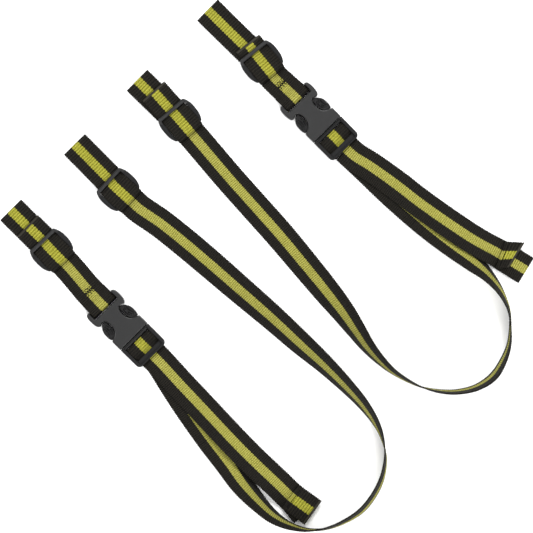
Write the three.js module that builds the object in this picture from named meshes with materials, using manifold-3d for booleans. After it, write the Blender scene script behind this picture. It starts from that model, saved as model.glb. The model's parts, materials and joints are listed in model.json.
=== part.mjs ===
// A pair of 25 mm webbing carry straps, laid out on a flat surface. Units are millimetres, +Z is up, z = 0
// is the surface, and +X runs from the end loops towards the wide turns. Each strap has a short end and a
// long end joined by a side-release buckle: the short webbing is sewn round the female half, and the long
// webbing is threaded through the male half and leaves a free tail. Both ends carry a loop closed by a
// three-bar slider.
import * as THREE from "three";
import { mergeVertices } from "three/addons/utils/BufferGeometryUtils.js";
import Module from "manifold-3d";

const wasm = await Module();
wasm.setup();

// Driving dimensions.
const WEB_WIDTH = 25;
const WEB_THICKNESS = 1.3;
const CLEARANCE = 0.3;
const LAYER_PITCH = WEB_THICKNESS + CLEARANCE;
const LAYER_1 = WEB_THICKNESS / 2; // middle heights of stacked webbing layers
const LAYER_2 = LAYER_1 + LAYER_PITCH;
const LAYER_3 = LAYER_2 + LAYER_PITCH;
const CENTRE = new THREE.Vector2(-0.75, 0.6); // middle of the laid-out pair

// Side-release buckle. Its own x runs from the female end (0) to the male end.
const BUCKLE_LENGTH = 63.8;
const BUCKLE_HALF_WIDTH = 16;
const SEAM_X = 41.3; // where the two halves meet
const BUCKLE_BOTTOM = 0.3;
const BUCKLE_TOP = 8.7;
const PLATE_THICKNESS = 1.8;
const FEMALE_SLOT_HALF = 13.2; // half widths of the webbing slots
const MALE_SLOT_HALF = 12.9;
const SLIDER_SLOT_HALF = 12.8;
const SHOULDER_X = 30.8; // front end of the female mouth, which the prongs catch on

// Three-bar slider. Its own x runs from the bar over the loop (negative) to the bar the webbing wraps.
const SLIDER_HALF_LENGTH = 12.3;
const SLIDER_BAR = 3.4;
const SLIDER_HALF_WIDTH = 16.8;
const SLIDER_TOP = 7.2;
const WEAVE_REACH = 14.2; // how far the woven strands run past the slider's middle

// The two straps. Positions are those of the buckle's female end and of each slider's middle; turns are
// headings in degrees; loop is the distance from the slider's middle to the end of its loop, and free
// to the cut end. A tucked free end lies between the loop's two layers, and any other lies on top.
const STRAPS = [
  {
    name: "strap1",
    buckle: { x: -87.6, y: -126.8 },
    shortSlider: { x: -147.3, y: -124.3, turn: -1, loopTurn: 0.8, loop: 49, free: 29, runTurn: -2.4 },
    longSlider: { x: -143.7, y: -48.5, turn: 2.5, loopTurn: -1, loop: 53.5, free: 31, tucked: true },
    // x, y, roll of the webbing in degrees (its right-hand edge rises)
    longRoute: [
      [-22.4, -126.8, 0], [-16.5, -126.9, 0], [-10, -128.1, 0], [2, -131, 0], [26, -136.2, 0],
      [56, -141.4, 3], [86, -145.6, 22], [105.5, -149.4, 41], [125, -150.8, 57], [144, -150, 70],
      [158.5, -145.7, 82],
      [172.5, -137.5, 92], [182.5, -126, 99], [189.5, -111, 104], [193, -94.5, 106.5],
      [191.5, -79, 106], [185.5, -62, 103], [174.5, -47.7, 96], [162.5, -39.7, 87], [148.8, -34.3, 78],
      [130, -30.8, 68], [110, -29.8, 60], [83.5, -30, 49.5], [57.5, -31.4, 38], [24, -33, 28],
      [-10, -35.5, 18], [-44, -38, 8], [-78, -41, 0], [-102, -44, 0], [-113, -46.2, 0], [-121, -47.5, 0],
      [-127.9, -47.8, 0],
    ],
    turnSpan: [175, 405], // where the turn starts and ends, as distances along the route
    // x, y, roll, height of the lower edge
    tailRoute: [
      [-22.4, -126.8, 0, 1.6], [-16, -126.8, 0, 1.6], [6, -127.7, 0, 1.6], [36, -128.6, 1, 1.6],
      [57, -129.2, 3, 2.8], [78, -129.6, 6, 5], [98, -129.6, 7, 5.4], [118, -129.2, 5, 3.6],
      [130, -129, 2, 1.2], [138, -129.1, 0, 0.1], [142, -129.1, 0, 0], [150, -129.2, 0, 0],
      [160.4, -129.6, 0, 0],
    ],
    hem: { turn: -2.5, length: 16.5, flapTurn: 8, flapSkew: 1, flapLength: 21.5 },
  },
  {
    name: "strap2",
    buckle: { x: -96, y: 112.2 },
    shortSlider: { x: -134.4, y: 113.7, turn: -6, loopTurn: 1.3, loop: 63.7, free: 20, runTurn: -1.5 },
    longSlider: { x: -148.3, y: 29.9, turn: -4.5, loopTurn: 1.8, loop: 50, free: 33.6 },
    longRoute: [
      [-30.5, 112.3, 0], [-22, 112.5, 0], [-4, 113, 0], [20, 113.5, 0], [48, 115, 4], [68, 116.3, 15],
      [88.5, 117.9, 31], [108, 119.7, 43], [128, 120, 61], [144, 118, 72], [158.5, 112.7, 80],
      [171.5, 102.3, 86], [181.5, 90.7, 91], [187.5, 78.3, 96], [190.5, 64, 99], [187.5, 48, 97],
      [178.5, 33.2, 95], [165.5, 21.3, 92.5], [154, 14.3, 88], [142, 9.7, 84], [128, 6.4, 79],
      [115, 5.6, 72.5], [99, 6.4, 63], [81.5, 9.4, 51], [64.5, 12.4, 39], [40, 15.4, 25],
      [14, 18, 16.5], [-19, 21, 7], [-53, 23, 0], [-87, 25, 0], [-108, 26.7, 0], [-120, 27.7, 0],
      [-132.5, 28.7, 0],
    ],
    turnSpan: [165, 370],
    tailRoute: [
      [-30.4, 112.3, 0, 1.6], [-24, 112.6, 0, 1.6], [-8, 116.1, 0, 1.6], [21, 121, 0, 1.6],
      [42, 123.6, 2, 1.8], [61, 126.5, 4, 3.6], [81, 130, 7, 6.2], [96, 133.1, 7, 5.4],
      [107, 136.1, 10, 3.2], [113.5, 138.2, 10, 1.6], [118, 139.7, 6, 0.5],
      [120.5, 140.5, 1, 0.1], [122, 140.8, 0, 0], [123.5, 141.2, 0, 0], [130, 142.8, 0, 0],
      [147.4, 146.9, 0, 0],
    ],
    hem: { turn: 16, length: 23, flapTurn: 38, flapSkew: -20, flapLength: 13 },
  },
];

const webbing = new THREE.MeshStandardMaterial({ color: 0x232123, roughness: 0.92, metalness: 0 });
const plastic = new THREE.MeshStandardMaterial({ color: 0x343434, roughness: 0.5, metalness: 0 });
const thread = new THREE.MeshStandardMaterial({ color: 0x151515, roughness: 0.85, metalness: 0 });

// ---- geometry helpers ----

function toSolid(geometry) {
  const bare = geometry.index ? geometry.toNonIndexed() : geometry.clone();
  bare.deleteAttribute("normal");
  bare.deleteAttribute("uv");
  const merged = mergeVertices(bare, 1e-4);
  return new wasm.Manifold(
    new wasm.Mesh({
      numProp: 3,
      vertProperties: merged.attributes.position.array,
      triVerts: new Uint32Array(merged.index.array),
    }),
  );
}

function toGeometry(solid) {
  const mesh = solid.getMesh();
  const geometry = new THREE.BufferGeometry();
  geometry.setAttribute("position", new THREE.BufferAttribute(mesh.vertProperties, 3));
  geometry.setIndex(new THREE.BufferAttribute(mesh.triVerts, 1));
  geometry.computeVertexNormals();
  return geometry;
}

// A plan outline raised between two heights, with its upper and lower edges rounded by bevel.
function slab(shape, bottom, top, bevel = 0) {
  const geometry = new THREE.ExtrudeGeometry(shape, {
    depth: top - bottom - 2 * bevel,
    bevelEnabled: bevel > 0,
    bevelThickness: bevel,
    bevelSize: bevel,
    bevelOffset: -bevel,
    bevelSegments: 2,
    curveSegments: 8,
  });
  return geometry.translate(0, 0, bottom + bevel);
}

// A side outline, drawn in x and z, carried across y.
function crossPiece(shape, halfWidth) {
  const geometry = new THREE.ExtrudeGeometry(shape, {
    depth: 2 * halfWidth,
    bevelEnabled: false,
    curveSegments: 6,
  });
  return geometry.rotateX(Math.PI / 2).translate(0, halfWidth, 0);
}

function block(x0, x1, halfWidth, z0, z1) {
  const geometry = new THREE.BoxGeometry(x1 - x0, 2 * halfWidth, z1 - z0);
  return geometry.translate((x0 + x1) / 2, 0, (z0 + z1) / 2);
}

// A rounded bar across y, its section between x0, x1 and z0, z1.
function bar(x0, x1, z0, z1, halfWidth) {
  const r = 0.42 * Math.min(x1 - x0, z1 - z0);
  const section = new THREE.Shape();
  section.moveTo(x0 + r, z0);
  section.lineTo(x1 - r, z0);
  section.absarc(x1 - r, z0 + r, r, -Math.PI / 2, 0, false);
  section.absarc(x1 - r, z1 - r, r, 0, Math.PI / 2, false);
  section.absarc(x0 + r, z1 - r, r, Math.PI / 2, Math.PI, false);
  section.absarc(x0 + r, z0 + r, r, Math.PI, 1.5 * Math.PI, false);
  return crossPiece(section, halfWidth);
}

function mirrored(points) {
  return points.map(([x, y]) => [x, -y]).reverse();
}

function shapeOf(points) {
  return new THREE.Shape(points.map(([x, y]) => new THREE.Vector2(x, y)));
}

// A smooth line through a few plan points, sampled into an outline.
function smooth(points, samples) {
  return new THREE.SplineCurve(points.map(([x, y]) => new THREE.Vector2(x, y)))
    .getPoints(samples)
    .map((p) => [p.x, p.y]);
}

// Webbing that bends only up and down: its middle line in x and z, thickened and carried across y.
function wovenStrand(points, samples, halfWidth = WEB_WIDTH / 2) {
  const line = new THREE.CatmullRomCurve3(
    points.map(([x, z]) => new THREE.Vector3(x, 0, z)),
    false,
    "centripetal",
  );
  const upper = [];
  const lower = [];
  for (let i = 0; i <= samples; i++) {
    const p = line.getPointAt(i / samples);
    const t = line.getTangentAt(i / samples);
    const half = WEB_THICKNESS / 2;
    upper.push([p.x - t.z * half, p.z + t.x * half]);
    lower.unshift([p.x + t.z * half, p.z - t.x * half]);
  }
  return crossPiece(shapeOf([...lower.reverse(), ...upper.reverse()]), halfWidth);
}

// Webbing that lies, twists and turns: a route of x, y, roll and height of the lower edge.
class WebbingRoute {
  constructor(stations) {
    const plan = stations.map(([x, y]) => new THREE.Vector3(x, y, 0));
    const twist = stations.map(([, , roll, lift = 0]) => new THREE.Vector3(roll, lift, 0));
    this.plan = new THREE.CatmullRomCurve3(plan, false, "centripetal");
    this.plan.arcLengthDivisions = 800;
    this.twist = new THREE.CatmullRomCurve3(twist, false, "catmullrom", 0.3);
    this.length = this.plan.getLength();
  }

  sectionAt(distance) {
    const u = THREE.MathUtils.clamp(distance / this.length, 0, 1);
    const t = this.plan.getUtoTmapping(u);
    const { x, y } = this.plan.getPoint(t);
    const twist = this.twist.getPoint(t);
    const roll = THREE.MathUtils.degToRad(twist.x);
    const upright = (WEB_WIDTH / 2) * Math.abs(Math.sin(roll));
    const half = upright + (WEB_THICKNESS / 2) * Math.abs(Math.cos(roll));
    const tangent = this.plan.getTangent(t);
    const left = new THREE.Vector3(-tangent.y, tangent.x, 0);
    const across = left.multiplyScalar(Math.cos(roll)).add(new THREE.Vector3(0, 0, -Math.sin(roll)));
    const face = new THREE.Vector3().crossVectors(tangent, across);
    return { point: new THREE.Vector3(x, y, half + Math.max(twist.y, 0)), tangent, across, face };
  }
}

class WebbingStretch extends THREE.Curve {
  constructor(route, start, end) {
    super();
    this.route = route;
    this.start = start;
    this.end = end;
  }

  distance(t) {
    return THREE.MathUtils.lerp(this.start, this.end, t);
  }

  getPoint(t, target = new THREE.Vector3()) {
    return target.copy(this.route.sectionAt(this.distance(t)).point);
  }

  computeFrenetFrames(segments) {
    const frames = { tangents: [], normals: [], binormals: [] };
    for (let i = 0; i <= segments; i++) {
      const section = this.route.sectionAt(this.distance(i / segments));
      frames.tangents.push(section.tangent);
      frames.normals.push(section.across);
      frames.binormals.push(section.face);
    }
    return frames;
  }
}

function webbingStretch(route, start, end, step = 7) {
  const w = WEB_WIDTH / 2;
  const h = WEB_THICKNESS / 2;
  const section = shapeOf([[-w, -h], [w, -h], [w, h], [-w, h]]);
  return new THREE.ExtrudeGeometry(section, {
    steps: Math.ceil((end - start) / step),
    extrudePath: new WebbingStretch(route, start, end),
  });
}

function place(object, x, y, turn = 0) {
  object.position.set(x, y, 0);
  object.rotation.z = THREE.MathUtils.degToRad(turn);
  return object;
}

function named(name, geometry, material) {
  const mesh = new THREE.Mesh(geometry, material);
  mesh.name = name;
  return mesh;
}

// ---- side-release buckle ----

function femaleHalf() {
  const lobe = smooth(
    [
      [1.1, 12.4], [0, 13.9], [1.2, 16.1], [4.5, 16.9],
      [9.5, 16.9], [13.3, 16.2], [15.2, 14.3], [14.4, 11.4],
    ],
    18,
  );
  const waist = smooth(
    [[14, 10.4], [14.8, 8.4], [19.8, 6.9], [25.7, 7.8], [29, 10.4], [SHOULDER_X, 14.6]],
    14,
  );
  const side = [...lobe, ...waist, [SHOULDER_X + 0.8, BUCKLE_HALF_WIDTH], [SEAM_X, BUCKLE_HALF_WIDTH]];
  const outline = shapeOf([...mirrored(side), ...side].reverse());
  const body = toSolid(slab(outline, BUCKLE_BOTTOM, BUCKLE_TOP, 0.7));
  const inside = [BUCKLE_BOTTOM + PLATE_THICKNESS, BUCKLE_TOP - PLATE_THICKNESS];
  const slotEnd = 8.7;
  const crossbar = { back: 4.5, bottom: 1.7, top: 5 };
  return toGeometry(
    body
      .subtract(toSolid(block(13.6, SHOULDER_X, 20, ...inside)))
      .subtract(toSolid(block(SHOULDER_X - 1, SEAM_X + 1, 13.6, ...inside)))
      .subtract(toSolid(block(crossbar.back, slotEnd, FEMALE_SLOT_HALF, -1, 10)))
      .subtract(toSolid(block(-1, slotEnd, FEMALE_SLOT_HALF, crossbar.top, 10)))
      .subtract(toSolid(block(-1, slotEnd, FEMALE_SLOT_HALF, -1, crossbar.bottom))),
  );
}

const MALE_FRONT_X = SEAM_X + CLEARANCE;
const MALE_WALL_X = 44.6; // back of the front wall
const SHELF_X = 58.4; // front of the recessed shelf that the webbing drops under
const SHELF_BOTTOM = 3.3;
const SHELF_TOP = 4.2;
const END_RIM_X = 62.3;

function maleHalf() {
  const corner = 3.4;
  const outline = new THREE.Shape();
  outline.moveTo(MALE_FRONT_X, -BUCKLE_HALF_WIDTH);
  outline.lineTo(BUCKLE_LENGTH - corner, -BUCKLE_HALF_WIDTH);
  outline.absarc(BUCKLE_LENGTH - corner, -BUCKLE_HALF_WIDTH + corner, corner, -Math.PI / 2, 0, false);
  outline.absarc(BUCKLE_LENGTH - corner, BUCKLE_HALF_WIDTH - corner, corner, 0, Math.PI / 2, false);
  outline.lineTo(MALE_FRONT_X, BUCKLE_HALF_WIDTH);
  const side = shapeOf([
    [MALE_FRONT_X - 1, 0.5], [BUCKLE_LENGTH - 3, 0.5], [BUCKLE_LENGTH + 1, 1.6], [BUCKLE_LENGTH + 1, 5.8],
    [END_RIM_X - 4, 6.6], [MALE_WALL_X + 3, 8.1], [MALE_FRONT_X - 1, 8.4],
  ]);
  const frame = toSolid(slab(outline, BUCKLE_BOTTOM, BUCKLE_TOP, 0.6)).intersect(
    toSolid(crossPiece(side, 20)),
  );
  const wallSlope = shapeOf([
    [MALE_FRONT_X + 0.7, 7.7], [MALE_WALL_X + 0.5, 6.3], [MALE_WALL_X + 0.5, 10], [MALE_FRONT_X + 0.7, 10],
  ]);
  const toothedBar = shapeOf([
    [46.8, 2.7], [47.8, 1.7], [52, 1.7], [52.8, 2.6], [52.8, 4.4], [52.2, 5.5], [51.4, 5.1], [50.7, 5.5],
    [49.9, 5.1], [49.2, 5.5], [48.2, 5.2], [47.3, 5], [46.8, 4.4],
  ]);
  const tonguePlan = shapeOf([[17, -1.4], [19, -2.4], [42.5, -2.4], [42.5, 2.4], [19, 2.4], [17, 1.4]]);
  const tongue = slab(tonguePlan, 2.7, 6.3);
  return toGeometry(
    frame
      .subtract(toSolid(crossPiece(wallSlope, MALE_SLOT_HALF + 0.4)))
      .subtract(toSolid(block(MALE_WALL_X, SHELF_X, MALE_SLOT_HALF, -1, 10)))
      .subtract(toSolid(block(SHELF_X - 1, BUCKLE_LENGTH + 1, MALE_SLOT_HALF, -1, SHELF_BOTTOM)))
      .subtract(toSolid(block(SHELF_X - 1, END_RIM_X, MALE_SLOT_HALF, SHELF_TOP, 10)))
      .add(toSolid(crossPiece(toothedBar, 14)))
      .add(toSolid(tongue)),
  );
}

// One spring arm, on the +y side: a slim arm in the mouth that widens into the thumb pad, whose curved
// grooves run beside the edge of the mouth.
function prong() {
  const pad = smooth(
    [[30.5, 15.3], [28, 16.2], [24.6, 16.4], [21, 16], [18, 14.6], [15.6, 12.2], [14.1, 9.4]],
    14,
  );
  const outline = [
    [SEAM_X - 0.1, 10.4], [SEAM_X - 0.1, 13.1], [SHOULDER_X - 0.3, 13.1], ...pad, [14.6, 8.1], [17, 7.7],
    [25, 7.9], [30, 9.6], [34, 10.4],
  ];
  let grooved = toSolid(slab(shapeOf(outline), 2.4, 6.6, 0.3));
  const grooveBottom = 5.6;
  const edge = smooth([[17.6, 10.2], [20.4, 9.1], [25, 9.5], [28.2, 11.6]], 8);
  for (const offset of [0, 1.8, 3.6]) {
    const inner = edge.map(([x, y]) => [x, y + offset]);
    const outer = inner.map(([x, y]) => [x, y + 0.8]);
    grooved = grooved.subtract(toSolid(slab(shapeOf([...inner, ...outer.reverse()]), grooveBottom, 7)));
  }
  return toGeometry(grooved);
}

function buckleWeb() {
  return wovenStrand(
    [
      [64.6, LAYER_1], [57, LAYER_1], [49, LAYER_1], [46.9, 0.95], [45.7, 2.2], [45.5, 4.2], [46.3, 5.9],
      [48.4, 6.7], [51, 6.75], [53.2, 6.3], [54.8, 5], [56, 3.4], [57.4, 2.4], [59.6, LAYER_2],
      [64.6, LAYER_2],
    ],
    50,
  );
}

// The short webbing: from the slider along the surface, over its sewn end, round the crossbar and back.
function shortWeb(reach) {
  return wovenStrand(
    [
      [-reach, LAYER_1], [-22, LAYER_1], [-19.6, 0.8], [-16.4, LAYER_2 - 0.1], [-9, LAYER_2], [-5.4, 2.8],
      [-2.6, 4.7], [-0.6, 5.9], [1.6, 6.2], [4.5, 6.1], [6.5, 5.3], [7.1, 3.5], [6.5, 1.7], [4.8, 0.8],
      [2, LAYER_1], [-15.6, LAYER_1],
    ],
    64,
  );
}

function barTack() {
  return block(-16, -9.8, 3.2, LAYER_2 + WEB_THICKNESS / 2 + CLEARANCE, 3.7);
}

// ---- three-bar slider and the webbing woven through it ----

function slider() {
  const cornerHalf = 14.2;
  const rail = smooth(
    [
      [-SLIDER_HALF_LENGTH, cornerHalf - 1.4], [-SLIDER_HALF_LENGTH + 1.2, cornerHalf + 0.3],
      [-6, SLIDER_HALF_WIDTH - 0.4], [0, SLIDER_HALF_WIDTH], [6, SLIDER_HALF_WIDTH - 0.4],
      [SLIDER_HALF_LENGTH - 1.2, cornerHalf + 0.3], [SLIDER_HALF_LENGTH, cornerHalf - 1.4],
    ],
    20,
  );
  const outline = slab(shapeOf([...mirrored(rail), ...rail].reverse()), 0.3, SLIDER_TOP, 0.5);
  const e = SLIDER_HALF_LENGTH + 1;
  const side = shapeOf([
    [-e, 4.5], [-7, 3.4], [-3, 0], [3, 0], [7, 2.2], [e, 3.2],
    [e, 5], [6, 5.6], [0, 6.4], [-6, 7], [-e, 7.4],
  ]);
  const inner = SLIDER_HALF_LENGTH - SLIDER_BAR;
  const reach = SLIDER_SLOT_HALF + 0.6;
  return toGeometry(
    toSolid(outline)
      .intersect(toSolid(crossPiece(side, 20)))
      .subtract(toSolid(block(-e, e, SLIDER_SLOT_HALF, -1, 10)))
      .add(toSolid(bar(-SLIDER_HALF_LENGTH, -inner, 4.8, SLIDER_TOP - 0.1, reach)))
      .add(toSolid(bar(-1.7, 1.7, 0.4, 2.2, reach)))
      .add(toSolid(bar(inner, SLIDER_HALF_LENGTH, 3.2, 5.2, reach))),
  );
}

// The strand from the buckle or the run: over the middle bar and on to the loop.
function weaveUnder() {
  const r = WEAVE_REACH;
  return wovenStrand(
    [
      [r + 1.2, LAYER_1], [9, LAYER_1], [6, 0.95], [3.7, 2.3], [1.5, 3.15], [-1.5, 3.15], [-3.7, 2.3],
      [-6, 0.95], [-9, LAYER_1], [-r, LAYER_1],
    ],
    34,
  );
}

// The strand back from the loop: over the middle bar, round the end bar, back over both, and under the
// top bar.
// Its lower and upper ends stand at the distances given: one joins the loop, and the other is the free end.
function weaveOver(lowerEnd, upperEnd) {
  return wovenStrand(
    [
      [-lowerEnd, LAYER_2], [-9.2, LAYER_2], [-6.7, 2.6], [-4.3, 4], [-1.8, 4.8], [1.8, 4.8], [4.3, 4],
      [6.7, 2.6], [9.2, LAYER_2], [11.8, LAYER_2], [13.3, 2.8], [13.75, 4.1], [13.2, 5.5], [11.6, 6.2],
      [8.4, 6.3], [2, 6.45], [-1.8, 6.4], [-4.8, 5.7], [-7.2, 4.5], [-9.4, LAYER_3], [-13, LAYER_3],
      [-upperEnd, LAYER_3],
    ],
    88,
  );
}

// A loop, flat where the slider pinches it and a little open at its end. Its upper layer lies over a tucked
// free end, and drops past that to the layer below.
function loopWeb(start, end, tuckedTo) {
  const tip = end - LAYER_1;
  const upper = tuckedTo
    ? [
        [-tuckedTo - 6, LAYER_2], [-tuckedTo - 1.5, LAYER_3 - 0.1], [-tuckedTo + 3, LAYER_3],
        [-start, LAYER_3],
      ]
    : [[-start, LAYER_2]];
  return wovenStrand(
    [
      [-start, LAYER_1], [-tip + 6, LAYER_1], [-tip + 1.7, 0.75], [-tip + 0.3, 1.3], [-tip, 2.1],
      [-tip + 0.4, 3], [-tip + 1.8, 3.4], [-tip + 5, 3.1], [-tip + 9, 2.45], [-tip + 12, LAYER_2],
      ...upper,
    ],
    56,
  );
}

// ---- folded stopper at the tail's end ----

function hemLayer(length) {
  return wovenStrand([[-length, LAYER_2], [0, LAYER_2]], 2);
}

function hemFlap({ flapTurn, flapSkew, flapLength }) {
  const turn = THREE.MathUtils.degToRad(flapTurn);
  const edge = THREE.MathUtils.degToRad(flapTurn + flapSkew + 90);
  const along = [Math.cos(turn) * flapLength, Math.sin(turn) * flapLength];
  const half = [(Math.cos(edge) * WEB_WIDTH) / 2, (Math.sin(edge) * WEB_WIDTH) / 2];
  const outline = shapeOf([
    [-half[0], -half[1]], [along[0] - half[0], along[1] - half[1]],
    [along[0] + half[0], along[1] + half[1]], [half[0], half[1]],
  ]);
  const bottom = LAYER_3 - WEB_THICKNESS / 2;
  return slab(outline, bottom, bottom + WEB_THICKNESS);
}

function hemSeam() {
  const bottom = LAYER_3 + WEB_THICKNESS / 2 + CLEARANCE;
  return block(3, 4.6, 10.5, bottom, bottom + 0.5);
}

// ---- assembly ----

// How far apart two webbing ends stand so that their corners stay clear across a change of heading.
function skewGap(turn) {
  return CLEARANCE + (WEB_WIDTH / 2) * Math.sin(Math.abs(THREE.MathUtils.degToRad(turn)));
}

function sliderGroup(name, end, web, { x, y, turn, loopTurn, loop, free, tucked }) {
  const woven = place(new THREE.Group(), x, y, turn);
  const wrap = tucked ? weaveOver(free, WEAVE_REACH) : weaveOver(WEAVE_REACH, free);
  woven.add(
    named(`${name}_${end}_slider`, slider(), plastic),
    named(`${name}_${web}_slider_strand`, weaveUnder(), webbing),
    named(`${name}_${web}_slider_wrap`, wrap, webbing),
  );
  const looped = place(new THREE.Group(), x, y, loopTurn);
  const start = WEAVE_REACH + skewGap(loopTurn - turn) + CLEARANCE;
  looped.add(named(`${name}_${web}_loop`, loopWeb(start, loop, tucked && free), webbing));
  const group = new THREE.Group();
  group.add(woven, looped);
  return group;
}

function buckleGroup({ name, buckle }) {
  const group = place(new THREE.Group(), buckle.x, buckle.y);
  const left = named(`${name}_prong_left`, prong(), plastic);
  const right = named(`${name}_prong_right`, prong(), plastic);
  right.scale.y = -1;
  group.add(
    named(`${name}_buckle_female`, femaleHalf(), plastic),
    named(`${name}_buckle_male`, maleHalf(), plastic),
    left,
    right,
    named(`${name}_long_web_buckle_weave`, buckleWeb(), webbing),
  );
  return group;
}

function shortEnd({ name, buckle, shortSlider }) {
  const run = place(new THREE.Group(), buckle.x, buckle.y, shortSlider.runTurn);
  const gap = Math.hypot(buckle.x - shortSlider.x, buckle.y - shortSlider.y);
  const reach = gap - WEAVE_REACH - 1.2 - skewGap(shortSlider.runTurn - shortSlider.turn) - CLEARANCE;
  run.add(named(`${name}_short_web`, shortWeb(reach), webbing));
  run.add(named(`${name}_bar_tack`, barTack(), thread));
  const group = new THREE.Group();
  group.add(run, sliderGroup(name, "short", "short_web", shortSlider));
  return group;
}

function longEnd({ name, longSlider, longRoute, turnSpan }) {
  const route = new WebbingRoute(longRoute);
  const [turnStart, turnEnd] = turnSpan;
  const half = CLEARANCE / 2;
  const group = new THREE.Group();
  group.add(
    named(`${name}_long_web_run`, webbingStretch(route, 0, turnStart - half), webbing),
    named(`${name}_long_web_turn`, webbingStretch(route, turnStart + half, turnEnd - half), webbing),
    named(`${name}_long_web_return`, webbingStretch(route, turnEnd + half, route.length), webbing),
    sliderGroup(name, "long", "long_web", longSlider),
  );
  return group;
}

function tailEnd({ name, tailRoute, hem }) {
  const route = new WebbingRoute(tailRoute);
  const [endX, endY] = tailRoute.at(-1);
  const turn = THREE.MathUtils.degToRad(hem.turn);
  const foldX = endX - Math.cos(turn) * hem.length;
  const foldY = endY - Math.sin(turn) * hem.length;
  const layer = place(new THREE.Group(), endX, endY, hem.turn);
  layer.add(named(`${name}_tail_hem`, hemLayer(hem.length), webbing));
  const flap = place(new THREE.Group(), foldX, foldY);
  flap.add(named(`${name}_tail_flap`, hemFlap(hem), webbing));
  const seam = place(new THREE.Group(), foldX, foldY, hem.flapTurn + hem.flapSkew);
  seam.add(named(`${name}_tail_seam`, hemSeam(), thread));
  const tail = named(`${name}_long_web_tail`, webbingStretch(route, 0, route.length), webbing);
  const group = new THREE.Group();
  group.add(tail, layer, flap, seam);
  return group;
}

const pair = new THREE.Group();
for (const strap of STRAPS) {
  pair.add(buckleGroup(strap), shortEnd(strap), longEnd(strap), tailEnd(strap));
}
pair.position.set(-CENTRE.x, -CENTRE.y, 0);

export default pair;
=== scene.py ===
"""The looks of a pair of 25 mm webbing carry straps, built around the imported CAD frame.

Lengths are in millimetres and become metres only where a mesh is made. Every strap's webbing is swept from
sections along its own route. The plastic buckles and sliders keep the frame's shapes, with softened edges.
"""

import json
import math

import bpy
import numpy as np
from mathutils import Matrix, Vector


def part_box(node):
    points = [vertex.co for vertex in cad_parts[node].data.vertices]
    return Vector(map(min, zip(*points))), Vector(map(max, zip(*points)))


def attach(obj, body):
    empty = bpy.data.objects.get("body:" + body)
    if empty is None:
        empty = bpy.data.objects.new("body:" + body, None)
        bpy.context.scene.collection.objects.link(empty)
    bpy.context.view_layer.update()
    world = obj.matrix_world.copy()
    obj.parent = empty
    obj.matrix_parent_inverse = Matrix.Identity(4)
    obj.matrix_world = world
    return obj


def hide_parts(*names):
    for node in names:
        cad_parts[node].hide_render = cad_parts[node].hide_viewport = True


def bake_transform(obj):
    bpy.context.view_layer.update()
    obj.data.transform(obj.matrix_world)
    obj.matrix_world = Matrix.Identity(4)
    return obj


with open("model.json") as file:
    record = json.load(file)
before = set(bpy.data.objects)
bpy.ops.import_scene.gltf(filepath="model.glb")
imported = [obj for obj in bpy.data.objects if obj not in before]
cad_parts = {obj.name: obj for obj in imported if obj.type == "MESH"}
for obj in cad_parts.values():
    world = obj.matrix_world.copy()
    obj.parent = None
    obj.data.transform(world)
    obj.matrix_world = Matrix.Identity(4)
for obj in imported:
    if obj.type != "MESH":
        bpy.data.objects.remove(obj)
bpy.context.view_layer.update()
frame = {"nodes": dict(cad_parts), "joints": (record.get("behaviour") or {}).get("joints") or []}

MM = 0.001
HALF_WIDTH = 12.5
THICKNESS = 1.3
PITCH = 1.6  # from one stacked layer of webbing to the next
LAYER_1 = THICKNESS / 2  # the middle of the lowest layer, and of the two above it
LAYER_2 = LAYER_1 + PITCH
LAYER_3 = LAYER_2 + PITCH
RIB = 1.75  # one weft rib along the webbing
BACK_RIB = 2.35  # and one on its other side, where the ribs are coarser
ROW = RIB / 2  # one row of the mesh, so that every other row is a rib
YARN = 1.15  # one warp yarn across the webbing
STRIPE_HALF = 3.75
SEALED_SHADE_ROWS = 2  # rows of the mesh that are melted hard at a cut, dark enough to also paint the shade at the step there
RUN_LENGTH = 84.0  # where the long webbing's mesh is parted, so that each part crosses one joint

CENTRE = np.array([-0.75, 0.6])  # the frame's origin, in the places below

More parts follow.
